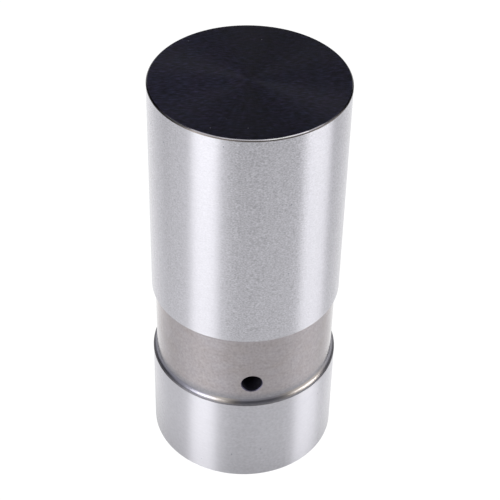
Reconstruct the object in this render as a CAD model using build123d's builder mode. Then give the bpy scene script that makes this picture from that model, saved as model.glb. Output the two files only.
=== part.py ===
"""Flat tappet for a pushrod engine, standing on its open pushrod end with the cam face up.

Sizes are in millimetres. +Z runs along the axis towards the cam face, the origin is the centre
of the pushrod end, and the oil hole looks along -Y. Heights are measured up from the pushrod end.
"""

import os
from math import acos, cos, degrees, radians, sin, tan

from build123d import *

os.makedirs("parts", exist_ok=True)

# Outside of the body
body_diameter = 22.2
body_length = 50.5
face_chamfer = 0.2
end_chamfer = 0.1

# Oil band turned into the outside, with a curved run-out at each shoulder
lower_land_height = 12.0
band_height = 10.5
band_depth = 0.45
band_runout = 0.72

# Oil hole drilled from the band into the cavity, with its outer edge broken
oil_hole_diameter = 2.4
oil_hole_above_shoulder = 3.3
oil_hole_break = 0.05

# Bore for the pushrod seat, and the drilled cavity behind it
bore_diameter = 16.0
mouth_chamfer = 0.5
cavity_diameter = 12.4
foot_thickness = 5.0
drill_point_angle = 118.0

# Pushrod seat: a turned cup with a ball socket, a lead-in cone and a central oil hole
seat_depth = 5.0
seat_clearance = 0.03
seat_chamfer = 0.25
ball_diameter = 7.94
ball_clearance = 0.03
socket_centre_depth = 0.9
socket_lip_angle = 10.0
lead_in_angle = 45.0
socket_floor = 2.0
seat_oil_hole_diameter = 1.6

# Metering disc: floats between the back of the seat and a step in the body
disc_diameter = 14.0
disc_thickness = 0.8
disc_clearance = 0.15
disc_travel = 0.4
disc_orifice_diameter = 0.8
scallop_count = 3
first_scallop_direction = 90.0
scallop_diameter = 2.4

# Retaining ring: flat spring wire, sprung into a groove of the bore
ring_width = 1.3
ring_thickness = 1.0
ring_corner_break = 0.12
ring_gap_angle = 34.0
ring_gap_direction = 90.0
groove_depth = 0.5
groove_clearance = 0.1

# Outside radii and heights that follow from the sizes above
body_radius = body_diameter / 2
band_radius = body_radius - band_depth
band_bottom = lower_land_height
band_top = lower_land_height + band_height
oil_hole_radius = oil_hole_diameter / 2
oil_hole_height = band_bottom + oil_hole_above_shoulder

# Radii and heights of the pushrod seat
bore_radius = bore_diameter / 2
seat_radius = bore_radius - seat_clearance
socket_radius = ball_diameter / 2 + ball_clearance
seat_oil_hole_radius = seat_oil_hole_diameter / 2
socket_centre = seat_depth + socket_centre_depth
seat_back = socket_centre + socket_radius + socket_floor
socket_lip_radius = socket_radius * cos(radians(socket_lip_angle))
socket_lip_height = socket_centre + socket_radius * sin(radians(socket_lip_angle))
lead_in_radius = socket_lip_radius + (socket_lip_height - seat_depth) * tan(radians(lead_in_angle))
socket_end_angle = degrees(acos(seat_oil_hole_radius / socket_radius))
socket_arc_angle = socket_end_angle - socket_lip_angle
socket_end_height = socket_centre + socket_radius * sin(radians(socket_end_angle))

# Radii and heights of the disc's pocket and of the cavity
disc_radius = disc_diameter / 2
pocket_radius = disc_radius + disc_clearance
pocket_top = seat_back + disc_thickness + disc_travel
cavity_radius = cavity_diameter / 2
cavity_tip = body_length - foot_thickness
cavity_wall_end = cavity_tip - cavity_radius / tan(radians(drill_point_angle / 2))

# Radii and heights of the ring and its groove
groove_radius = bore_radius + groove_depth
groove_bottom = seat_depth - ring_thickness
groove_top = seat_depth + groove_clearance
ring_radius = groove_radius - groove_clearance


# Body: foot, lands, oil band and stepped bore turned from one bar
with BuildPart() as tappet_body:
    with BuildSketch(Plane.XZ):
        with BuildLine():
            Polyline((0, cavity_tip), (0, body_length), (body_radius, body_length), (body_radius, band_top))
            TangentArc((band_radius, band_top - band_runout), (body_radius, band_top), tangent=(0, 1))
            Line((band_radius, band_top - band_runout), (band_radius, band_bottom + band_runout))
            TangentArc((band_radius, band_bottom + band_runout), (body_radius, band_bottom), tangent=(0, -1))
            Polyline(
                (body_radius, band_bottom),
                (body_radius, 0),
                (bore_radius, 0),
                (bore_radius, groove_bottom),
                (groove_radius, groove_bottom),
                (groove_radius, groove_top),
                (bore_radius, groove_top),
                (bore_radius, seat_back),
                (pocket_radius, seat_back),
                (pocket_radius, pocket_top),
                (cavity_radius, pocket_top),
                (cavity_radius, cavity_wall_end),
                (0, cavity_tip),
            )
        make_face()
    revolve(axis=Axis.Z)

    rims = tappet_body.edges().filter_by(GeomType.CIRCLE).group_by(Axis.Z)
    cam_rim = rims[-1]
    end_rims = rims[0].sort_by(SortBy.RADIUS)
    chamfer(cam_rim, face_chamfer)
    chamfer(end_rims[-1], end_chamfer)
    chamfer(end_rims[0], mouth_chamfer)

    # The oil hole goes through the wall in front of the cavity
    with BuildSketch(Plane.XZ.offset(body_radius)):
        with Locations((0, oil_hole_height)):
            Circle(oil_hole_radius)
    extrude(amount=-body_radius, mode=Mode.SUBTRACT)
    hole_edges = tappet_body.edges(Select.LAST)
    chamfer(hole_edges.group_by(Axis.Y)[0], oil_hole_break)
tappet_body.part.label = "tappet_body"


# Pushrod seat: slides into the bore and stops on the first step
with BuildPart() as pushrod_seat:
    with BuildSketch(Plane.XZ):
        with BuildLine():
            CenterArc((0, socket_centre), socket_radius, socket_lip_angle, socket_arc_angle)
            Polyline(
                (seat_oil_hole_radius, socket_end_height),
                (seat_oil_hole_radius, seat_back),
                (seat_radius, seat_back),
                (seat_radius, seat_depth),
                (lead_in_radius, seat_depth),
                (socket_lip_radius, socket_lip_height),
            )
        make_face()
    revolve(axis=Axis.Z)

    outer_rims = pushrod_seat.edges().filter_by(GeomType.CIRCLE).group_by(SortBy.RADIUS)[-1]
    chamfer(outer_rims, seat_chamfer)
pushrod_seat.part.label = "pushrod_seat"


# Metering disc: lies on the back of the seat and lifts as far as the step in the body
with BuildPart() as metering_disc:
    with BuildSketch(Plane.XY.offset(seat_back)):
        Circle(disc_radius)
        Circle(disc_orifice_diameter / 2, mode=Mode.SUBTRACT)
        with PolarLocations(disc_radius, scallop_count, start_angle=first_scallop_direction):
            Circle(scallop_diameter / 2, mode=Mode.SUBTRACT)
    extrude(amount=disc_thickness)
metering_disc.part.label = "metering_disc"


# Retaining ring: an open ring under the seat, with its gap on the side away from the oil hole
with BuildPart() as retaining_ring:
    ring_start = ring_gap_direction + ring_gap_angle / 2
    with BuildSketch(Plane.XZ.rotated((0, 0, ring_start))) as wire_section:
        with Locations((ring_radius, seat_depth)):
            Rectangle(ring_width, ring_thickness, align=(Align.MAX, Align.MAX))
        chamfer(wire_section.vertices(), ring_corner_break)
    revolve(axis=Axis.Z, revolution_arc=360 - ring_gap_angle)
retaining_ring.part.label = "retaining_ring"


export_step(tappet_body.part, "parts/tappet_body.step")
export_step(pushrod_seat.part, "parts/pushrod_seat.step")
export_step(metering_disc.part, "parts/metering_disc.step")
export_step(retaining_ring.part, "parts/retaining_ring.step")
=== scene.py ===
"""Looks of a flat tappet: a ground steel cylinder with a black coated cam face, on a white floor.

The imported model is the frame, in metres: +Z runs along the axis towards the cam face and the oil
hole looks along -Y. Named sizes are in millimetres and named angles in degrees, and heights are
measured up from the open pushrod end that the tappet stands on.

Three small forms follow the photo and differ from the frame by under 0.1 mm: the chamfer of the
cam face, the lower shoulder of the oil band and the broken edge of the oil hole.
"""

from math import acos, asin, atan2, cos, degrees, pi, radians, sin, sqrt, tan

import bmesh
import bpy
from mathutils import Matrix, Vector


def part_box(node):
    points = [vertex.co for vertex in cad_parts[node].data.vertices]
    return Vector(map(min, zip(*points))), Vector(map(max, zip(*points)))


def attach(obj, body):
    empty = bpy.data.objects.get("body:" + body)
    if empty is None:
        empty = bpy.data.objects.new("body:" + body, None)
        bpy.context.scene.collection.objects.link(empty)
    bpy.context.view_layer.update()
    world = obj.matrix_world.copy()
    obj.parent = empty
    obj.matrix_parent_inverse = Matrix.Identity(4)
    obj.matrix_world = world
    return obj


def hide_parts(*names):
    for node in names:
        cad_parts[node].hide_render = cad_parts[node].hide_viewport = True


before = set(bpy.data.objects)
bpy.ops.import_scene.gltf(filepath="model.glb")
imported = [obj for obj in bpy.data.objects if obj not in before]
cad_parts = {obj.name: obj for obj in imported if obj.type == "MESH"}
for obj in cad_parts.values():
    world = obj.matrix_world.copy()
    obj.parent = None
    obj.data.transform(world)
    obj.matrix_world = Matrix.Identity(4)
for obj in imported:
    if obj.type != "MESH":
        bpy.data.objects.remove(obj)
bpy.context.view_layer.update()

MM = 0.001

# Outside of the body
body_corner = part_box("tappet_body")[1]
body_radius = body_corner.x / MM
body_length = body_corner.z / MM
face_chamfer = 0.15
end_chamfer = 0.1
mouth_chamfer = 0.5

# Oil band between the two lands, with a curved run-out at each shoulder
band_bottom = 12.08
band_top = 22.5
band_depth = 0.45
band_radius = body_radius - band_depth
band_runout = 0.72

# Angles on the lower run-out between which it has a finish of its own
runout_start = 3.0
runout_end = 50.0

# Heights between which the band goes from its painted shade, darker and bluish, at its foot to its own
# colour
band_full_shade_top = 12.9
band_shade_top = 13.9

# Oil hole, with its outer edge broken
oil_hole_radius = 1.2
oil_hole_height = 15.3
oil_hole_break = 0.08

# Bore, ring groove, disc pocket and drilled cavity
bore_radius = 8.0
groove_radius = 8.5
groove_bottom = 4.0
groove_top = 5.1
pocket_radius = 7.15
pocket_top = 13.11
cavity_radius = 6.2
cavity_tip = 45.5
drill_point_angle = 118.0

# Pushrod seat, with the ball socket that starts inside its lip
seat_radius = 7.97
seat_front = 5.0
seat_back = 11.9
seat_chamfer = 0.25
socket_centre = 5.9
socket_radius = 4.0
socket_lip_angle = 10.0
socket_start_angle = 12.0
seat_oil_hole_radius = 0.8

# Retaining ring, against the front of the seat
ring_outer_radius = 8.4
ring_width = 1.3
ring_thickness = 1.0
ring_corner_break = 0.12
ring_gap_angle = 34.0
ring_gap_direction = 90.0

# Fineness of the turned meshes, and the radii of the rings of mesh on the cam face
turns_of_body = 360
turns_of_seat = 240
turns_of_ring = 220
face_rings = (4.0, 8.0, 10.4)
sharp_edge_angle = 28.0

# Radii of the broken edges
edge_round = 0.03
land_edge_round = 0.2
lead_in_round = 0.1
lip_round = 0.05

# Width of the inner part of the open end, which is finished like the bore
mouth_margin = 0.2

# Heights between which the grain of the lands goes from coarse and faint to fine and strong
coarse_grain_top = 10.0
fine_grain_bottom = 24.0

# Where metal starts to look glossier as it turns away, and where it is glossiest: 0 faces the eye
glance_start = 0.5
glance_end = 0.92

# The range about its middle where a noise has most of its values
noise_low = 0.25
noise_high = 0.75

# The tables that follow go round the part: degrees from the oil hole, plus to the right

# How strong the grain of the lands is
grain_round_axis = (
    (-180, 0.75),
    (-48, 0.75),
    (-38, 0.3),
    (-22, 0.3),
    (-13, 1.0),
    (23, 1.0),
    (32, 0.4),
    (44, 0.4),
    (52, 0.8),
    (180, 0.75),
)

# How light the coating of the cam face is round the axis: a painted sheen
coating_sheen_round_axis = (
    (-180, 0.8),
    (-165, 0.95),
    (-140, 1.3),
    (-120, 1.2),
    (-90, 1.5),
    (-60, 1.3),
    (-30, 1.05),
    (0, 0.7),
    (30, 1.05),
    (60, 1.2),
    (90, 1.1),
    (135, 0.85),
    (165, 0.7),
    (180, 0.8),
)

# Painted highlights and shade on the lower run-out: how bright it is round the axis, and how far its cast
# is straw, where it is lit, and not blue
runout_painted_light_round_axis = (
    (-180, 1.0),
    (-85, 0.8),
    (-60, 0.76),
    (-48, 0.85),
    (-40, 1.0),
    (-30, 1.3),
    (-18, 1.4),
    (-10, 0.82),
    (0, 0.7),
    (12, 0.62),
    (20, 0.78),
    (30, 1.2),
    (45, 1.45),
    (58, 1.2),
    (75, 1.0),
    (180, 1.0),
)
painted_highlight_straw_round_axis = (
    (-180, 0.4),
    (-90, 0.0),
    (-45, 0.0),
    (-30, 0.2),
    (-20, 1.0),
    (-12, 0.9),
    (-5, 0.1),
    (15, 0.2),
    (25, 1.0),
    (50, 1.0),
    (65, 0.2),
    (180, 0.4),
)

# How bright the chamfer of the cam face and the edge under it are round the axis: painted highlights and
# shade
chamfer_highlight_round_axis = (
    (-180, 0.03),
    (-66, 0.03),
    (-58, 0.6),
    (-50, 2.0),
    (-42, 1.1),
    (-35, 0.85),
    (-20, 0.85),
    (0, 1.15),
    (12, 1.4),
    (24, 1.2),
    (32, 1.1),
    (48, 1.05),
    (56, 0.3),
    (64, 0.03),
    (180, 0.03),
)
edge_painted_light_round_axis = (
    (-180, 0.1),
    (-66, 0.1),
    (-58, 0.2),
    (-50, 0.3),
    (-42, 1.0),
    (-35, 2.0),
    (-26, 1.3),
    (-8, 0.9),
    (24, 0.8),
    (32, 0.8),
    (45, 1.1),
    (54, 0.8),
    (62, 0.1),
    (180, 0.1),
)


# Turned meshes

class Outline:
    """The outline of a turned piece: points of radius and height, and the finish of each stretch."""

    def __init__(self, radius, height):
        self.points = [(radius, height)]
        self.finishes = []

    def line(self, finish, *points):
        """Straight stretches through the given points."""
        for point in points:
            self.points.append(point)
            self.finishes.append(finish)

    def close(self, finish):
        """A straight stretch back to the first point."""
        self.finishes.append(finish)

    def arc(self, finish, centre, radius, start, end, steps):
        """A round stretch about a centre, its angles measured from the outward direction."""
        for step in range(1, steps + 1):
            angle = radians(start + (end - start) * step / steps)
            self.line(finish, (centre[0] + radius * cos(angle), centre[1] + radius * sin(angle)))

    def rounded(self, finish, corner, following, radius=edge_round, steps=3, edge_finish=None):
        """A corner with its edge broken to a small radius, on the way to the following point."""
        before = Vector(self.points[-1]) - Vector(corner)
        after = Vector(following) - Vector(corner)
        half = before.angle(after) / 2
        reach = radius / tan(half)
        start = Vector(corner) + before.normalized() * reach
        end = Vector(corner) + after.normalized() * reach
        middle = (before.normalized() + after.normalized()).normalized()
        centre = Vector(corner) + middle * (radius / sin(half))
        self.line(finish, tuple(start))
        for step in range(1, steps + 1):
            spoke = (start - centre).lerp(end - centre, step / steps).normalized()
            self.line(edge_finish or finish, tuple(centre + spoke * radius))


def turn(mesh, outline, turns, start_angle=0.0, sweep=360.0, skip=None):
    """Turns an outline about the axis and returns its rings of vertices, one for each point.

    A closed outline has its first ring again at the end.
    """
    whole = sweep >= 360.0
    count = turns if whole else turns + 1
    rings = []
    for radius, height in outline.points:
        if radius == 0:
            rings.append([mesh.verts.new((0, 0, height * MM))] * count)
            continue
        ring = []
        for k in range(count):
            angle = radians(start_angle + sweep * k / turns)
            ring.append(mesh.verts.new((radius * cos(angle) * MM, radius * sin(angle) * MM, height * MM)))
        rings.append(ring)
    if len(outline.finishes) == len(outline.points):
        rings.append(rings[0])
    for stretch, (lower, upper) in enumerate(zip(rings, rings[1:])):
        for k in range(turns):
            if skip and skip(stretch, k):
                continue
            following = (k + 1) % count
            corners = (lower[k], lower[following], upper[following], upper[k])
            face = mesh.faces.new(list(dict.fromkeys(corners)))
            face.material_index = outline.finishes[stretch]
    return rings


def finished_piece(mesh, name, materials):
    """Makes an object of a mesh, smooth but for its sharp edges, with its faces looking outwards."""
    bmesh.ops.recalc_face_normals(mesh, faces=mesh.faces)
    data = bpy.data.meshes.new(name)
    mesh.to_mesh(data)
    mesh.free()
    for material in materials:
        data.materials.append(material)
    data.shade_smooth()
    data.set_sharp_from_angle(angle=radians(sharp_edge_angle))
    piece = bpy.data.objects.new(name, data)
    bpy.context.scene.collection.objects.link(piece)
    return piece


# Shader nodes

def feed(tree, socket, value):
    """Sets a socket to a value, or links it to the output of another node."""
    if isinstance(value, bpy.types.NodeSocket):
        tree.links.new(value, socket)
    else:
        socket.default_value = value


def feed_inputs(tree, node, inputs):
    """Feeds the inputs of a node by name, an underscore standing for a space."""
    for name, value in inputs.items():
        feed(tree, node.inputs[name.replace("_", " ")], value)


def add_node(tree, kind, **inputs):
    """Adds a node and feeds the named inputs."""
    node = tree.nodes.new(kind)
    feed_inputs(tree, node, inputs)
    return node


def place_group(tree, group, **inputs):
    """Places a group in a material with its own values and returns its output."""
    node = tree.nodes.new("ShaderNodeGroup")
    node.node_tree = group
    feed_inputs(tree, node, inputs)
    return node.outputs[0]


def maths(tree, operation, *values):
    """Adds a maths node and returns its result."""
    node = tree.nodes.new("ShaderNodeMath")
    node.operation = operation
    for socket, value in zip(node.inputs, values):
        feed(tree, socket, value)
    return node.outputs[0]


def vector_maths(tree, operation, *vectors):
    """Adds a vector maths node."""
    node = tree.nodes.new("ShaderNodeVectorMath")
    node.operation = operation
    for socket, value in zip(node.inputs, vectors):
        feed(tree, socket, value)
    return node


def map_range(tree, value, start, end, low, high, kind="LINEAR"):
    """Takes a value from one range to another and holds it at the ends."""
    node = add_node(
        tree,
        "ShaderNodeMapRange",
        Value=value,
        From_Min=start,
        From_Max=end,
        To_Min=low,
        To_Max=high,
    )
    node.interpolation_type = kind
    return node.outputs[0]


def spread(tree, marks, low, high):
    """Takes the middle part of a noise to a range."""
    return map_range(tree, marks, noise_low, noise_high, low, high)


def between(tree, share, first, second):
    """The first value where the share is 0, and the second where it is 1."""
    return maths(tree, "MULTIPLY_ADD", share, second - first, first)


def mixed(tree, share, first, second):
    """The first colour where the share is 0, and the second where it is 1."""
    node = tree.nodes.new("ShaderNodeMix")
    node.data_type = "RGBA"
    for label, value in (("Factor_Float", share), ("A_Color", first), ("B_Color", second)):
        feed(tree, next(socket for socket in node.inputs if socket.identifier == label), value)
    return next(socket for socket in node.outputs if socket.identifier == "Result_Color")


def lightened(tree, colour, factor):
    """The colour times a factor, which is lighter above 1 and darker below it."""
    node = vector_maths(tree, "SCALE", colour)
    feed(tree, node.inputs["Scale"], factor)
    return node.outputs[0]


def part_place(tree):
    """The place on the piece that has the material, in metres."""
    return tree.nodes.new("ShaderNodeTexCoord").outputs["Object"]


def part_axes(tree):
    """The X, Y and Z of the place on the piece."""
    return add_node(tree, "ShaderNodeSeparateXYZ", Vector=part_place(tree)).outputs


def distance_from_axis(tree, axes):
    """How far a place lies from the axis."""
    flat = add_node(tree, "ShaderNodeCombineXYZ", X=axes["X"], Y=axes["Y"]).outputs[0]
    return vector_maths(tree, "LENGTH", flat).outputs["Value"]


def round_axis(tree, table):
    """The value that a table gives for the angle round the axis."""
    axes = part_axes(tree)
    angle = maths(tree, "ARCTAN2", axes["X"], maths(tree, "MULTIPLY", axes["Y"], -1.0))
    turn_share = maths(tree, "MULTIPLY_ADD", angle, 0.5 / pi, 0.5)
    ramp = add_node(tree, "ShaderNodeValToRGB", Fac=turn_share)
    steps = ramp.color_ramp.elements
    while len(steps) < len(table):
        steps.new(0.5)
    for step, (degree, value) in zip(steps, table):
        step.position = degree / 360 + 0.5
        step.color = (value, value, value, 1)
    return ramp.outputs["Color"]


# Shader groups

def new_group(name, output, **inputs):
    """Starts a shader node group with one output. A number is a value, and a tuple is a colour."""
    group = bpy.data.node_groups.new(name, "ShaderNodeTree")
    for label, value in inputs.items():
        kind = "NodeSocketColor" if isinstance(value, tuple) else "NodeSocketFloat"
        socket = group.interface.new_socket(name=label.replace("_", " "), in_out="INPUT", socket_type=kind)
        socket.default_value = value
    kind = "NodeSocketColor" if output == "Colour" else "NodeSocketFloat"
    group.interface.new_socket(name=output, in_out="OUTPUT", socket_type=kind)
    given = group.nodes.new("NodeGroupInput").outputs
    out = group.nodes.new("NodeGroupOutput").inputs[output]
    return group, given, out


def stretched_noise(group, given, **place):
    """A noise over a stretched place, with the detail and the seed that the group is given."""
    stretched = add_node(group, "ShaderNodeCombineXYZ", **place).outputs[0]
    noise = add_node(group, "ShaderNodeTexNoise", Vector=stretched, Scale=1.0, Detail=given["Detail"])
    noise.noise_dimensions = "4D"
    feed(group, noise.inputs["W"], given["Seed"])
    return noise.outputs["Fac"]


def make_ground_marks():
    """Marks that run round the axis: wheel and tool marks on cylinders, and rings on end faces.

    They change along the outline that was turned, so the height and the radius both count.
    """
    group, given, out = new_group("ground_marks", "Marks", Length=2.0, Spacing=0.1, Detail=2.0, Seed=0.0)
    axes = part_axes(group)
    along = maths(group, "MULTIPLY", given["Length"], MM)
    across = maths(group, "MULTIPLY", given["Spacing"], MM)
    on_outline = maths(group, "ADD", axes["Z"], distance_from_axis(group, axes))
    marks = stretched_noise(
        group,
        given,
        X=maths(group, "DIVIDE", axes["X"], along),
        Y=maths(group, "DIVIDE", axes["Y"], along),
        Z=maths(group, "DIVIDE", on_outline, across),
    )
    group.links.new(marks, out)
    return group


def make_lapping_marks():
    """Streaks that run across an end face from side to side, as lapping leaves them.

    They sway to each side by up to the wave, over about a wave length.
    """
    group, given, out = new_group(
        "lapping_marks",
        "Marks",
        Length=2.0,
        Spacing=0.1,
        Wave=0.5,
        Wave_Length=4.0,
        Detail=2.0,
        Seed=0.0,
    )
    axes = part_axes(group)
    wave_length = maths(group, "MULTIPLY", given["Wave Length"], MM)
    wave_scale = maths(group, "DIVIDE", 1.0, wave_length)
    waves = add_node(group, "ShaderNodeTexNoise", Vector=part_place(group), Scale=wave_scale, Detail=1.0)
    sway = maths(group, "MULTIPLY_ADD", waves.outputs["Fac"], 2.0, -1.0)
    reach = maths(group, "MULTIPLY", given["Wave"], MM)
    waved = maths(group, "MULTIPLY_ADD", sway, reach, axes["Y"])
    marks = stretched_noise(
        group,
        given,
        X=maths(group, "DIVIDE", axes["X"], maths(group, "MULTIPLY", given["Length"], MM)),
        Y=maths(group, "DIVIDE", waved, maths(group, "MULTIPLY", given["Spacing"], MM)),
    )
    group.links.new(marks, out)
    return group


def make_radial_marks():
    """Streaks that run out from the axis over an end face, as a cup wheel leaves them."""
    nearest = 0.05 * MM
    group, given, out = new_group("radial_marks", "Marks", Streaks=20.0, Length=3.0, Detail=3.0, Seed=0.0)
    axes = part_axes(group)
    reach = maths(group, "MAXIMUM", distance_from_axis(group, axes), nearest)
    across = maths(group, "DIVIDE", given["Streaks"], reach)
    marks = stretched_noise(
        group,
        given,
        X=maths(group, "MULTIPLY", axes["X"], across),
        Y=maths(group, "MULTIPLY", axes["Y"], across),
        Z=maths(group, "DIVIDE", reach, maths(group, "MULTIPLY", given["Length"], MM)),
    )
    group.links.new(marks, out)
    return group


def make_specks():
    """A mask of a few tiny specks: one at most in each cell, and only in a share of the cells."""
    group, given, out = new_group("specks", "Mask", Cell=1.5, Size=0.08, Share=0.1)
    cell_size = maths(group, "MULTIPLY", given["Cell"], MM)
    cell_scale = maths(group, "DIVIDE", 1.0, cell_size)
    cells = add_node(group, "ShaderNodeTexVoronoi", Vector=part_place(group), Scale=cell_scale).outputs
    reach = maths(group, "DIVIDE", given["Size"], given["Cell"])
    near = maths(group, "LESS_THAN", cells["Distance"], reach)
    draw = add_node(group, "ShaderNodeSeparateXYZ", Vector=cells["Color"]).outputs["X"]
    chosen = maths(group, "LESS_THAN", draw, given["Share"])
    group.links.new(maths(group, "MULTIPLY", near, chosen), out)
    return group


def make_tone():
    """Lightens or darkens a colour by how far a mark lies from its middle value."""
    group, given, out = new_group("tone", "Colour", Colour=(0.6, 0.6, 0.6, 1), Marks=0.5, Contrast=0.2)
    swing = maths(group, "MULTIPLY", maths(group, "SUBTRACT", given["Marks"], 0.5), given["Contrast"])
    factor = maths(group, "ADD", swing, 1.0)
    group.links.new(lightened(group, given["Colour"], factor), out)
    return group


def make_height_fade():
    """A mask that goes from 0 to 1 between two heights on the axis."""
    group, given, out = new_group("height_fade", "Mask", From=0.0, To=1.0)
    height = maths(group, "DIVIDE", part_axes(group)["Z"], MM)
    group.links.new(map_range(group, height, given["From"], given["To"], 0.0, 1.0, "SMOOTHSTEP"), out)
    return group


ground_marks = make_ground_marks()
radial_marks = make_radial_marks()
lapping_marks = make_lapping_marks()
specks = make_specks()
tone = make_tone()
height_fade = make_height_fade()


# Materials

def new_material(name, **constants):
    """A node material with a Principled BSDF, its constants set on the shader's own sockets."""
    material = bpy.data.materials.new(name)
    material.use_nodes = True
    tree = material.node_tree
    shader = tree.nodes["Principled BSDF"]
    feed_inputs(tree, shader, constants)
    return material, tree, shader


def turn_gloss(tree, shader):
    """Lets a stretched gloss follow the direction round the axis."""
    tangent = tree.nodes.new("ShaderNodeTangent")
    tangent.direction_type = "RADIAL"
    tangent.axis = "Z"
    tree.links.new(tangent.outputs[0], shader.inputs["Tangent"])


def brush_round_axis(tree, shader, amount):
    """Stretches the gloss up and down the part, across marks that run round the axis."""
    quarter_turn = 0.25
    turn_gloss(tree, shader)
    shader.inputs["Anisotropic"].default_value = amount
    shader.inputs["Anisotropic Rotation"].default_value = quarter_turn


def glossier_at_a_glance(tree, roughness, share):
    """Takes the roughness down to a share of it where the surface is seen at a glance."""
    facing = add_node(tree, "ShaderNodeLayerWeight", Blend=0.5).outputs["Facing"]
    ease = map_range(tree, facing, glance_start, glance_end, 1.0, share, "SMOOTHSTEP")
    return maths(tree, "MULTIPLY", roughness, ease)


def dress(tree, shader, colour, roughness):
    """Feeds the shader its colour and its roughness."""
    tree.links.new(colour, shader.inputs["Base Color"])
    tree.links.new(roughness, shader.inputs["Roughness"])


def dress_marked(tree, shader, steel, marks, contrast, roughness):
    """Dresses steel with marks that change its tone and take its roughness over a range."""
    colour = place_group(tree, tone, Colour=steel, Marks=marks, Contrast=contrast)
    dress(tree, shader, colour, spread(tree, marks, *roughness))


def make_ground_steel():
    """Centreless ground lands: satin steel with a fine grain and faint wheel marks."""
    material, tree, shader = new_material("ground_steel", Metallic=1.0)
    brush_round_axis(tree, shader, 0.96)
    upper = place_group(tree, height_fade, From=coarse_grain_top, To=fine_grain_bottom)
    length = between(tree, upper, 0.34, 0.2)
    spacing = between(tree, upper, 0.3, 0.13)
    grain = place_group(tree, ground_marks, Length=length, Spacing=spacing, Detail=1.0, Seed=1.0)
    wheel = place_group(tree, ground_marks, Length=3.0, Spacing=0.25, Detail=3.0, Seed=2.0)
    steel = (0.578, 0.572, 0.612, 1)
    speck = (0.3, 0.32, 0.37, 1)
    strength = between(tree, upper, 0.36, 1.15)
    contrast = maths(tree, "MULTIPLY", strength, round_axis(tree, grain_round_axis))
    grained = place_group(tree, tone, Colour=steel, Marks=grain, Contrast=contrast)
    wheeled = place_group(tree, tone, Colour=grained, Marks=wheel, Contrast=0.12)
    dirt = place_group(tree, specks, Cell=1.2, Size=0.09, Share=0.12)
    satin = maths(tree, "MULTIPLY", spread(tree, wheel, 0.36, 0.38), between(tree, upper, 1.05, 1.0))
    dress(tree, shader, mixed(tree, dirt, wheeled, speck), glossier_at_a_glance(tree, satin, 0.5))
    return material


def make_band_steel():
    """The turned oil band: darker, browner and duller than the lands, with a painted shade, darker and
    bluish, at its foot.
    """
    material, tree, shader = new_material("turned_band_steel", Metallic=1.0)
    brush_round_axis(tree, shader, 0.6)
    grain = place_group(tree, ground_marks, Length=0.28, Spacing=0.3, Detail=1.0, Seed=3.0)
    tool = place_group(tree, ground_marks, Length=9.0, Spacing=0.3, Detail=2.0, Seed=4.0)
    blotch = place_group(tree, ground_marks, Length=2.2, Spacing=1.3, Detail=2.0, Seed=14.0)
    brown = (0.39, 0.358, 0.36, 1)
    violet = (0.37, 0.348, 0.368, 1)
    # Painted shade: the band turns darker and bluish towards its foot, by the lower shoulder
    painted_shade_blue = (0.305, 0.298, 0.32, 1)
    steel = mixed(tree, spread(tree, blotch, 0.0, 1.0), brown, violet)
    blotched = place_group(tree, tone, Colour=steel, Marks=blotch, Contrast=0.25)
    above_painted_shade = place_group(tree, height_fade, From=band_full_shade_top, To=band_shade_top)
    painted_shaded = mixed(tree, above_painted_shade, painted_shade_blue, blotched)
    grained = place_group(tree, tone, Colour=painted_shaded, Marks=grain, Contrast=0.5)
    colour = place_group(tree, tone, Colour=grained, Marks=tool, Contrast=0.14)
    dress(tree, shader, colour, glossier_at_a_glance(tree, spread(tree, tool, 0.48, 0.54), 0.3))
    return material


def make_runout_steel():
    """The lower run-out of the band, with painted highlights and shade: lighter and straw where it is lit,
    darker and blue elsewhere.
    """
    material, tree, shader = new_material("runout_steel", Metallic=1.0)
    brush_round_axis(tree, shader, 0.3)
    tool = place_group(tree, ground_marks, Length=12.0, Spacing=0.2, Detail=2.0, Seed=5.0)
    blue = (0.248, 0.246, 0.29, 1)
    straw = (0.285, 0.262, 0.246, 1)
    # Painted highlights and shade: the run-out's colour and brightness follow the lights round the axis
    painted_light_cast = mixed(tree, round_axis(tree, painted_highlight_straw_round_axis), blue, straw)
    steel = lightened(tree, painted_light_cast, round_axis(tree, runout_painted_light_round_axis))
    dress_marked(tree, shader, steel, tool, contrast=0.2, roughness=(0.32, 0.38))
    return material


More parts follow.
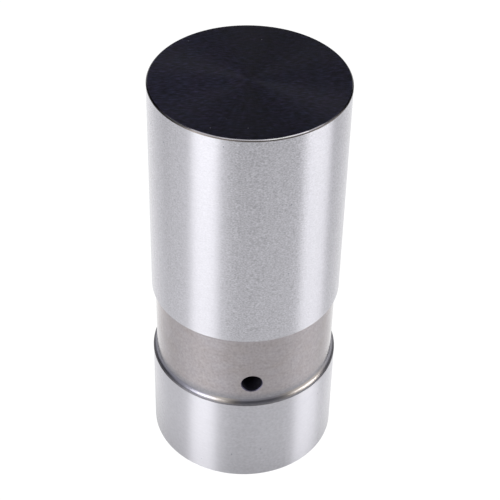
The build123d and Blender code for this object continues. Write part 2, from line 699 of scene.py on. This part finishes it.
def make_coating():
    """The black diamond-like coating of the cam face, over fine lapping streaks, with a painted sheen
    round the axis.
    """
    material, tree, shader = new_material("coated_cam_face", Metallic=0.0, IOR=1.4, Anisotropic=0.78)
    turn_gloss(tree, shader)
    lapping = place_group(
        tree,
        lapping_marks,
        Length=0.8,
        Spacing=0.22,
        Wave=1.2,
        Wave_Length=5.0,
        Detail=2.0,
        Seed=6.0,
    )
    streaks = place_group(tree, radial_marks, Streaks=34.0, Length=2.2, Detail=1.0, Seed=15.0)
    blotch = place_group(tree, ground_marks, Length=3.5, Spacing=1.0, Detail=2.0, Seed=16.0)
    violet = (0.0125, 0.0095, 0.0235, 1)
    blue = (0.0092, 0.0106, 0.0240, 1)
    dust_grey = (0.2, 0.2, 0.24, 1)
    wisp_power = 2.4
    relief_depth = 0.02 * MM
    black = mixed(tree, spread(tree, blotch, 0.0, 1.0), violet, blue)
    wisps = maths(tree, "POWER", maths(tree, "MULTIPLY", lapping, 2.0), wisp_power)
    # Painted sheen: the lapping wisps are lighter or darker by the angle round the axis
    wisps_and_sheen = maths(tree, "MULTIPLY", wisps, round_axis(tree, coating_sheen_round_axis))
    lapped_with_sheen = lightened(tree, black, wisps_and_sheen)
    streaked = place_group(tree, tone, Colour=lapped_with_sheen, Marks=streaks, Contrast=1.0)
    dust = place_group(tree, specks, Cell=1.6, Size=0.06, Share=0.5)
    dress(tree, shader, mixed(tree, dust, streaked, dust_grey), spread(tree, lapping, 0.7, 0.86))
    relief = add_node(tree, "ShaderNodeBump", Height=lapping, Strength=1.0, Distance=relief_depth)
    tree.links.new(relief.outputs[0], shader.inputs["Normal"])
    return material


def make_chamfer_steel():
    """The chamfer of the cam face: bright steel with painted highlights and shade round the axis, nearly
    black at the back.
    """
    material, tree, shader = new_material("chamfer_steel", Metallic=1.0)
    tool = place_group(tree, ground_marks, Length=6.0, Spacing=0.08, Detail=2.0, Seed=7.0)
    steel = (0.8, 0.775, 0.825)
    # Painted highlights and shade: the chamfer's brightness follows the lights round the axis
    painted_lit_steel = lightened(tree, steel, round_axis(tree, chamfer_highlight_round_axis))
    dress_marked(tree, shader, painted_lit_steel, tool, contrast=0.3, roughness=(0.12, 0.18))
    return material


def make_edge_steel():
    """The edge under the chamfer: dark brownish steel with painted highlights and shade round the axis."""
    material, tree, shader = new_material("edge_steel", Metallic=1.0)
    rub = place_group(tree, ground_marks, Length=1.2, Spacing=0.3, Detail=2.0, Seed=13.0)
    steel = (0.155, 0.139, 0.131)
    # Painted highlights and shade: the edge's brightness follows the lights round the axis
    painted_lit_steel = lightened(tree, steel, round_axis(tree, edge_painted_light_round_axis))
    dress_marked(tree, shader, painted_lit_steel, rub, contrast=0.3, roughness=(0.5, 0.6))
    return material


def make_end_steel():
    """The open end of the body, turned flat and a little stained by oil."""
    material, tree, shader = new_material("end_steel", Metallic=1.0)
    rings = place_group(tree, ground_marks, Length=16.0, Spacing=0.16, Detail=3.0, Seed=18.0)
    stain = place_group(tree, ground_marks, Length=5.0, Spacing=3.0, Detail=3.0, Seed=19.0)
    clean = (0.5, 0.495, 0.505, 1)
    stained = (0.40, 0.375, 0.36, 1)
    steel = mixed(tree, spread(tree, stain, 0.0, 1.0), clean, stained)
    dress_marked(tree, shader, steel, rings, contrast=0.9, roughness=(0.22, 0.34))
    return material


def make_bored_steel():
    """Inside surfaces of the body: bored, drilled and left dark by the heat treatment."""
    material, tree, shader = new_material("bored_steel", Metallic=1.0)
    tool = place_group(tree, ground_marks, Length=14.0, Spacing=0.22, Detail=3.0, Seed=8.0)
    steel = (0.34, 0.328, 0.32, 1)
    dress_marked(tree, shader, steel, tool, contrast=0.9, roughness=(0.32, 0.46))
    return material


def make_shaded_hole_steel(name, steel):
    """Steel of the oil hole, painted nearly black and bluish: painted shade in the hole."""
    material, tree, shader = new_material(name, Metallic=1.0)
    drill = place_group(tree, ground_marks, Length=0.5, Spacing=0.3, Detail=2.0, Seed=17.0)
    dress_marked(tree, shader, steel, drill, contrast=0.8, roughness=(0.4, 0.55))
    return material


def make_seat_steel():
    """The hardened pushrod seat, with turning rings on its face."""
    material, tree, shader = new_material("seat_steel", Metallic=1.0)
    tool = place_group(tree, ground_marks, Length=9.0, Spacing=0.14, Detail=3.0, Seed=9.0)
    tint = place_group(tree, ground_marks, Length=4.0, Spacing=2.0, Detail=2.0, Seed=21.0)
    grey = (0.37, 0.37, 0.39, 1)
    straw = (0.39, 0.355, 0.32, 1)
    steel = mixed(tree, spread(tree, tint, 0.0, 1.0), grey, straw)
    dress_marked(tree, shader, steel, tool, contrast=0.8, roughness=(0.3, 0.4))
    return material


def make_socket_steel():
    """The ball socket, lapped bright."""
    material, tree, shader = new_material("socket_steel", Metallic=1.0)
    tool = place_group(tree, ground_marks, Length=5.0, Spacing=0.15, Detail=2.0, Seed=10.0)
    steel = (0.56, 0.555, 0.56, 1)
    dress_marked(tree, shader, steel, tool, contrast=0.35, roughness=(0.14, 0.22))
    return material


def make_spring_steel():
    """Oil tempered flat wire of the retaining ring, dark with a brown cast."""
    material, tree, shader = new_material("spring_wire", Metallic=1.0)
    scale = place_group(tree, ground_marks, Length=0.8, Spacing=0.4, Detail=3.0, Seed=11.0)
    steel = (0.2, 0.185, 0.18, 1)
    dress_marked(tree, shader, steel, scale, contrast=0.6, roughness=(0.28, 0.42))
    return material


def make_disc_steel():
    """Stamped and tumbled sheet steel of the metering disc."""
    material, tree, shader = new_material("disc_steel", Metallic=1.0)
    tumbling = place_group(tree, ground_marks, Length=0.3, Spacing=0.3, Detail=3.0, Seed=12.0)
    steel = (0.5, 0.5, 0.52, 1)
    dress_marked(tree, shader, steel, tumbling, contrast=0.4, roughness=(0.34, 0.5))
    return material


# The body

# Its finishes, in the order of its materials
LAND, BAND, RUNOUT, COATING, CHAMFER, EDGE, END, BORED, HOLE_EDGE, HOLE_WALL = range(10)

# The square of mesh round the oil hole that is left open and closed by a round patch
window_turns = 16
window_rows = 2 * window_turns
window_half_height = 2.2
cavity_window_half_height = 1.7
window_tolerance = 0.001
patch_rings = 8


def window_heights(half_height):
    """Heights of the rows of mesh beside the oil hole, from the lowest up."""
    step = 2 * half_height / window_rows
    return [oil_hole_height - half_height + step * row for row in range(window_rows + 1)]


def window_points(outline, wall_radius, half_height):
    """Which points of the outline are the rows of mesh beside the oil hole."""
    found = []
    for number, (radius, height) in enumerate(outline.points):
        on_wall = abs(radius - wall_radius) < window_tolerance
        beside = abs(height - oil_hole_height) < half_height + window_tolerance
        if on_wall and beside:
            found.append(number)
    return found


def trace_outside(outline):
    """The outside of the body, from the middle of the cam face down to the open end."""
    runout_radius = (band_depth ** 2 + band_runout ** 2) / (2 * band_depth)
    runout_turn = degrees(asin(band_runout / runout_radius))
    upper_centre = (band_radius + runout_radius, band_top - band_runout)
    lower_centre = (band_radius + runout_radius, band_bottom + band_runout)
    land_top = (body_radius, body_length - face_chamfer)
    face_edge = (body_radius - face_chamfer, body_length)
    outline.line(COATING, *[(radius, body_length) for radius in face_rings])
    outline.rounded(COATING, face_edge, land_top)
    outline.rounded(CHAMFER, land_top, (body_radius, band_top), land_edge_round, steps=8, edge_finish=EDGE)
    outline.line(LAND, (body_radius, band_top))
    outline.arc(BAND, upper_centre, runout_radius, 180 - runout_turn, 180, steps=12)
    rows = window_heights(window_half_height)
    outline.line(BAND, *[(band_radius, height) for height in reversed(rows)])
    outline.line(BAND, (band_radius, band_bottom + band_runout))
    outline.arc(BAND, lower_centre, runout_radius, 180, 180 + runout_start, steps=4)
    outline.arc(RUNOUT, lower_centre, runout_radius, 180 + runout_start, 180 + runout_end, steps=12)
    outline.arc(BAND, lower_centre, runout_radius, 180 + runout_end, 180 + runout_turn, steps=4)
    outline.rounded(LAND, (body_radius, end_chamfer), (body_radius - end_chamfer, 0))


def trace_inside(outline):
    """The open end and the inside of the body, up to the tip of the drilled cavity.

    The top of the pocket lies 0.01 mm above the frame's, so that the disc never shares its plane.
    """
    mouth_radius = bore_radius + mouth_chamfer
    cavity_wall_end = cavity_tip - cavity_radius / tan(radians(drill_point_angle / 2))
    outline.rounded(END, (body_radius - end_chamfer, 0), (mouth_radius, 0))
    outline.line(END, (mouth_radius + mouth_margin, 0))
    outline.rounded(BORED, (mouth_radius, 0), (bore_radius, mouth_chamfer))
    outline.line(BORED, (bore_radius, mouth_chamfer), (bore_radius, groove_bottom))
    outline.line(BORED, (groove_radius, groove_bottom), (groove_radius, groove_top))
    outline.line(BORED, (bore_radius, groove_top), (bore_radius, seat_back))
    outline.line(BORED, (pocket_radius, seat_back), (pocket_radius, pocket_top))
    outline.line(BORED, (cavity_radius, pocket_top))
    rows = window_heights(cavity_window_half_height)
    outline.line(BORED, *[(cavity_radius, height) for height in rows])
    outline.line(BORED, (cavity_radius, cavity_wall_end), (0, cavity_tip))


def hole_rim(radius, wall_radius, direction):
    """A point where the oil hole meets a cylinder about the axis. The direction is in radians."""
    across = radius * cos(direction)
    return (across, -sqrt(wall_radius ** 2 - across ** 2), oil_hole_height + radius * sin(direction))


def window_border(rings, rows, first_turn):
    """The vertices round the open square at the oil hole, in order."""
    last_turn = first_turn + window_rows
    first_row = rows[0]
    last_row = rows[-1]
    step = 1 if last_row > first_row else -1
    border = [rings[first_row][k] for k in range(first_turn, last_turn)]
    border += [rings[row][last_turn] for row in range(first_row, last_row, step)]
    border += [rings[last_row][k] for k in range(last_turn, first_turn, -1)]
    border += [rings[row][first_turn] for row in range(last_row, first_row, -step)]
    return border


def bridge(mesh, loop_a, loop_b, finish):
    """Faces between two closed loops of as many vertices."""
    count = len(loop_a)
    for k in range(count):
        following = (k + 1) % count
        face = mesh.faces.new((loop_a[k], loop_a[following], loop_b[following], loop_b[k]))
        face.material_index = finish


def patch_to_hole(mesh, border, wall_radius, hole_radius, finish):
    """Closes the open square to the round rim of the oil hole. Returns the rim's vertices."""
    places = []
    for vertex in border:
        x, y, z = vertex.co / MM
        angle = atan2(x, -y)
        rise = z - oil_hole_height
        direction = atan2(rise, wall_radius * angle)
        rim_x, rim_y, rim_z = hole_rim(hole_radius, wall_radius, direction)
        places.append((angle, z, atan2(rim_x, -rim_y), rim_z))
    previous = border
    for ring in range(1, patch_rings + 1):
        share = ring / patch_rings
        loop = []
        for angle, height, rim_angle, rim_height in places:
            turn_angle = angle + (rim_angle - angle) * share
            place = (
                wall_radius * sin(turn_angle) * MM,
                -wall_radius * cos(turn_angle) * MM,
                (height + (rim_height - height) * share) * MM,
            )
            loop.append(mesh.verts.new(place))
        bridge(mesh, previous, loop, finish)
        previous = loop
    return previous


def break_rim(mesh, outer_rim):
    """The broken edge at the outside of the oil hole. Returns the vertices on the hole's wall."""
    wall_rim = []
    for vertex in outer_rim:
        x, y, z = vertex.co / MM
        direction = atan2(z - oil_hole_height, x)
        x, y, z = hole_rim(oil_hole_radius, band_radius, direction)
        wall_rim.append(mesh.verts.new((x * MM, (y + oil_hole_break) * MM, z * MM)))
    bridge(mesh, outer_rim, wall_rim, HOLE_EDGE)
    return wall_rim


def make_body():
    """The body with a finish for each surface, and the oil hole through its wall."""
    mesh = bmesh.new()
    outline = Outline(0, body_length)
    trace_outside(outline)
    trace_inside(outline)
    outer = window_points(outline, band_radius, window_half_height)
    inner = window_points(outline, cavity_radius, cavity_window_half_height)
    # The oil hole lies three quarters of a turn round from +X, where the mesh starts
    first_turn = turns_of_body * 3 // 4 - window_turns

    def in_window(stretch, k):
        beside = first_turn <= k < first_turn + window_rows
        outside = outer[0] <= stretch < outer[-1]
        inside = inner[0] <= stretch < inner[-1]
        return beside and (outside or inside)

    rings = turn(mesh, outline, turns_of_body, skip=in_window)
    outer_border = window_border(rings, outer, first_turn)
    inner_border = window_border(rings, inner[::-1], first_turn)
    outer_rim = patch_to_hole(mesh, outer_border, band_radius, oil_hole_radius + oil_hole_break, BAND)
    inner_rim = patch_to_hole(mesh, inner_border, cavity_radius, oil_hole_radius, BORED)
    bridge(mesh, break_rim(mesh, outer_rim), inner_rim, HOLE_WALL)
    materials = [
        make_ground_steel(),
        make_band_steel(),
        make_runout_steel(),
        make_coating(),
        make_chamfer_steel(),
        make_edge_steel(),
        make_end_steel(),
        make_bored_steel(),
        # The oil hole's edge and wall are painted nearly black: painted shade
        make_shaded_hole_steel("hole_edge_shaded_steel", (0.09, 0.085, 0.13, 1)),
        make_shaded_hole_steel("hole_wall_shaded_steel", (0.14, 0.133, 0.18, 1)),
    ]
    return finished_piece(mesh, "body_finished", materials)


body = make_body()
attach(body, "tappet")
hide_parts("tappet_body")


# The pushrod seat

# Its finishes, in the order of its materials
TURNED, SOCKET = range(2)


def make_seat():
    """The pushrod seat: a cup with a lead-in cone, a ball socket and a central oil hole."""
    lip_angle = radians(socket_lip_angle)
    lip_radius = socket_radius * cos(lip_angle)
    lip_height = socket_centre + socket_radius * sin(lip_angle)
    inside_lip = (lip_radius - sin(lip_angle), lip_height + cos(lip_angle))
    lead_in_radius = lip_radius + (lip_height - seat_front)
    socket_end_angle = degrees(acos(seat_oil_hole_radius / socket_radius))
    corners = [
        (seat_radius - seat_chamfer, seat_back),
        (seat_radius, seat_back - seat_chamfer),
        (seat_radius, seat_front + seat_chamfer),
        (seat_radius - seat_chamfer, seat_front),
        (lead_in_radius, seat_front),
    ]
    outline = Outline(seat_oil_hole_radius, seat_back)
    for corner, following in zip(corners, corners[1:]):
        outline.rounded(TURNED, corner, following)
    outline.rounded(TURNED, corners[-1], (lip_radius, lip_height), lead_in_round, steps=6)
    outline.rounded(TURNED, (lip_radius, lip_height), inside_lip, lip_round, steps=4)
    outline.arc(SOCKET, (0, socket_centre), socket_radius, socket_start_angle, socket_end_angle, steps=40)
    outline.close(TURNED)
    mesh = bmesh.new()
    turn(mesh, outline, turns_of_seat)
    return finished_piece(mesh, "pushrod_seat_finished", [make_seat_steel(), make_socket_steel()])


seat = make_seat()
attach(seat, "tappet")
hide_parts("pushrod_seat")


# The retaining ring and the metering disc

# The one finish of the ring
WIRE = 0


def make_ring():
    """The retaining ring: flat wire with broken corners, bent round to a gap."""
    inner = ring_outer_radius - ring_width
    low = seat_front - ring_thickness
    high = seat_front
    cut = ring_corner_break
    outline = Outline(inner + cut, low)
    outline.line(WIRE, (ring_outer_radius - cut, low), (ring_outer_radius, low + cut))
    outline.line(WIRE, (ring_outer_radius, high - cut), (ring_outer_radius - cut, high))
    outline.line(WIRE, (inner + cut, high), (inner, high - cut), (inner, low + cut))
    outline.close(WIRE)
    mesh = bmesh.new()
    start = ring_gap_direction + ring_gap_angle / 2
    rings = turn(mesh, outline, turns_of_ring, start, 360 - ring_gap_angle)
    mesh.faces.new([ring[0] for ring in rings[:-1]])
    mesh.faces.new([ring[-1] for ring in rings[:-1]])
    return finished_piece(mesh, "retaining_ring_finished", [make_spring_steel()])


ring = make_ring()
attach(ring, "tappet")
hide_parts("retaining_ring")

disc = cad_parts["metering_disc"]
disc.data.materials.clear()
disc.data.materials.append(make_disc_steel())


# Camera: on the photo's line of sight, which passes a little to the left of the oil hole

camera_lens = 106.16
camera_sensor = 36.0
camera_distance = 172.42
camera_elevation = 40.037
camera_roll = 1.434
camera_turn = -5.79
camera_near = 10.0
camera_far = 10000.0
sight_point = Vector((0.464, 0.0, 26.755))


def make_camera():
    """The camera at the photo's place, direction and lens."""
    elevation = radians(camera_elevation)
    roll = radians(camera_roll)
    backward = Vector((0, -cos(elevation), sin(elevation)))
    level = Vector((1, 0, 0))
    upright = Vector((0, sin(elevation), cos(elevation)))
    right = level * cos(roll) + upright * sin(roll)
    up = upright * cos(roll) - level * sin(roll)
    place = (sight_point + backward * camera_distance) * MM
    axes = Matrix((right, up, backward)).transposed().to_4x4()
    data = bpy.data.cameras.new("camera")
    data.lens = camera_lens
    data.sensor_width = camera_sensor
    data.clip_start = camera_near * MM
    data.clip_end = camera_far * MM
    camera = bpy.data.objects.new("camera", data)
    camera.matrix_world = Matrix.Rotation(radians(camera_turn), 4, "Z") @ Matrix.Translation(place) @ axes
    bpy.context.scene.collection.objects.link(camera)
    bpy.context.scene.camera = camera


make_camera()


# Studio: a white floor, white paper behind, soft lights and dim surroundings

# The camera sees the floor and the surroundings as plain white
white_glow = 1.05

# What the metal sees where there is no floor, paper or light
surroundings = (0.06, 0.06, 0.066, 1)

# The floor as the metal sees it
floor_radius = 1500.0
floor_drop = 0.02
floor_front_glow = 1.05
floor_back_glow = 1.12
floor_turn_start = -30.0
floor_turn_end = 30.0
floor_shade = 0.76
floor_shade_place = (-1.5, -4.0)
floor_shade_core = 8.0
floor_shade_end = 17.5
floor_dim_side = 0.925
floor_dim_start = 13.0
floor_dim_end = 38.0
floor_dim_direction = (0.8, 0.6, 0)
floor_middle = (0.0, 150.0)
floor_edge = 410.0
floor_edge_end = 560.0
floor_beyond = 0.1

# The paper behind the part
backdrop_distance = 300.0
backdrop_half_angle = 42.0
backdrop_full_height = 100.0
backdrop_height = 190.0
backdrop_glow = 1.2
backdrop_strips = 48

# The soft lights: name, azimuth, elevation, half width, half height and glow
softbox_aim = Vector((0, 0, 25))
softbox_distance = 2000.0
softboxes = (
    ("left_softbox", -43.8, 12, 14.9, 16.7, 6.25),
    ("left_inner_softbox", -20, 12, 6, 14, 0.7),
    ("left_side_softbox", -73, 10, 13, 18, 0.8),
    ("left_upper_softbox", -47, 43, 18, 12, 0.55),
    ("left_high_softbox", -90, 64, 14, 9, 1.8),
    ("right_softbox", 76.2, 6, 16.4, 13.6, 6.5),
    ("right_side_softbox", 80, 32, 10, 13, 0.4),
    ("right_upper_softbox", 47, 43, 20, 12, 0.7),
    ("right_high_softbox", 90, 62, 14, 9, 0.8),
    ("front_softbox", 0, 50, 22, 12, 0.45),
)


def faded(tree, distance, near, far, near_value, far_value):
    """A value that eases from one to another between two distances."""
    return map_range(tree, distance, near * MM, far * MM, near_value, far_value, "SMOOTHSTEP")


def distance_from(tree, place, point):
    """The distance of a place on the floor from a point."""
    return vector_maths(tree, "DISTANCE", place, (point[0] * MM, point[1] * MM, 0)).outputs["Value"]


def distance_along(tree, place, direction):
    """How far a place lies from the axis in a direction."""
    return vector_maths(tree, "DOT_PRODUCT", place, direction).outputs["Value"]


def bare_tree(owner):
    """The node tree of a new material or world, without the nodes that it starts with."""
    owner.use_nodes = True
    owner.node_tree.nodes.clear()
    return owner.node_tree


def put_out(tree, kind, shader):
    """Ends a tree with an output node that shows the shader."""
    output = tree.nodes.new(kind)
    tree.links.new(shader, output.inputs["Surface"])


def mixed_shader(tree, share, first, second):
    """The first shader where the share is 0, and the second where it is 1."""
    node = tree.nodes.new("ShaderNodeMixShader")
    for socket, value in zip(node.inputs, (share, first, second)):
        tree.links.new(value, socket)
    return node.outputs[0]


def floor_glow(tree):
    """How brightly the metal sees each place of the floor.

    It is brighter behind the part than in front, dimmer at its foot and a little dimmer to one
    side, and fades out far away.
    """
    place = part_place(tree)
    behind = add_node(tree, "ShaderNodeSeparateXYZ", Vector=place).outputs["Y"]
    from_shade = distance_from(tree, place, floor_shade_place)
    from_middle = distance_from(tree, place, floor_middle)
    to_side = distance_along(tree, place, floor_dim_direction)
    foot = faded(tree, from_shade, floor_shade_core, floor_shade_end, floor_shade, 1.0)
    base = faded(tree, behind, floor_turn_start, floor_turn_end, floor_front_glow, floor_back_glow)
    edge = faded(tree, from_middle, floor_edge, floor_edge_end, 1.0, floor_beyond)
    side = faded(tree, to_side, floor_dim_start, floor_dim_end, 1.0, floor_dim_side)
    glow = maths(tree, "MULTIPLY", maths(tree, "MULTIPLY", foot, base), edge)
    return maths(tree, "MULTIPLY", glow, side)


def make_floor():
    """The white floor, which can be seen through from below."""
    mesh = bmesh.new()
    corners = [(-1, -1), (1, -1), (1, 1), (-1, 1)]
    size = floor_radius * MM
    mesh.faces.new([mesh.verts.new((x * size, y * size, -floor_drop * MM)) for x, y in corners])
    material = bpy.data.materials.new("white_floor")
    tree = bare_tree(material)
    to_metal = add_node(tree, "ShaderNodeEmission", Strength=floor_glow(tree)).outputs[0]
    to_camera = add_node(tree, "ShaderNodeEmission", Strength=white_glow).outputs[0]
    clear = tree.nodes.new("ShaderNodeBsdfTransparent").outputs[0]
    camera_ray = tree.nodes.new("ShaderNodeLightPath").outputs["Is Camera Ray"]
    from_below = tree.nodes.new("ShaderNodeNewGeometry").outputs["Backfacing"]
    seen = mixed_shader(tree, camera_ray, to_metal, to_camera)
    put_out(tree, "ShaderNodeOutputMaterial", mixed_shader(tree, from_below, seen, clear))
    floor = finished_piece(mesh, "floor", [material])


def make_backdrop():
    """White paper that curves round behind the part, where only its reflection shows.

    It dims towards its top, down to the surroundings.
    """
    mesh = bmesh.new()
    feet = []
    tops = []
    for strip in range(backdrop_strips + 1):
        angle = radians(camera_turn + backdrop_half_angle * (1 - 2 * strip / backdrop_strips))
        across = -sin(angle) * backdrop_distance * MM
        behind = cos(angle) * backdrop_distance * MM
        feet.append(mesh.verts.new((across, behind, 0)))
        tops.append(mesh.verts.new((across, behind, backdrop_height * MM)))
    for strip in range(backdrop_strips):
        mesh.faces.new((feet[strip], feet[strip + 1], tops[strip + 1], tops[strip]))
    material = bpy.data.materials.new("white_paper")
    tree = bare_tree(material)
    height = part_axes(tree)["Z"]
    glow = faded(tree, height, backdrop_full_height, backdrop_height, backdrop_glow, surroundings[0])
    shine = add_node(tree, "ShaderNodeEmission", Strength=glow).outputs[0]
    put_out(tree, "ShaderNodeOutputMaterial", shine)
    backdrop = finished_piece(mesh, "backdrop", [material])
    backdrop.visible_camera = False


def make_softbox(name, azimuth, elevation, half_width, half_height, glow):
    """A soft light that looks at the part and that the camera doesn't see.

    The azimuth is from the camera's side, plus to the right. The half width and half height are
    angles as well, as seen from the part.
    """
    width = 2 * softbox_distance * tan(radians(half_width)) * MM
    height = 2 * softbox_distance * tan(radians(half_height)) * MM
    data = bpy.data.lights.new(name, "AREA")
    data.shape = "RECTANGLE"
    data.size = width
    data.size_y = height
    data.energy = glow * width * height * pi
    light = bpy.data.objects.new(name, data)
    angle = radians(azimuth + camera_turn)
    rise = radians(elevation)
    away = Vector((sin(angle) * cos(rise), -cos(angle) * cos(rise), sin(rise)))
    place = (softbox_aim + away * softbox_distance) * MM
    light.matrix_world = Matrix.Translation(place) @ away.to_track_quat("Z", "Y").to_matrix().to_4x4()
    light.visible_camera = False
    bpy.context.scene.collection.objects.link(light)


def make_world():
    """Dim surroundings that the camera sees as white."""
    world = bpy.data.worlds.new("surroundings")
    tree = bare_tree(world)
    dim = add_node(tree, "ShaderNodeBackground", Color=surroundings, Strength=1.0).outputs[0]
    white = add_node(tree, "ShaderNodeBackground", Color=(1, 1, 1, 1), Strength=white_glow).outputs[0]
    camera_ray = tree.nodes.new("ShaderNodeLightPath").outputs["Is Camera Ray"]
    put_out(tree, "ShaderNodeOutputWorld", mixed_shader(tree, camera_ray, dim, white))
    bpy.context.scene.world = world


make_floor()
make_backdrop()
for softbox in softboxes:
    make_softbox(*softbox)
make_world()
bpy.context.scene.view_settings.view_transform = "Standard"
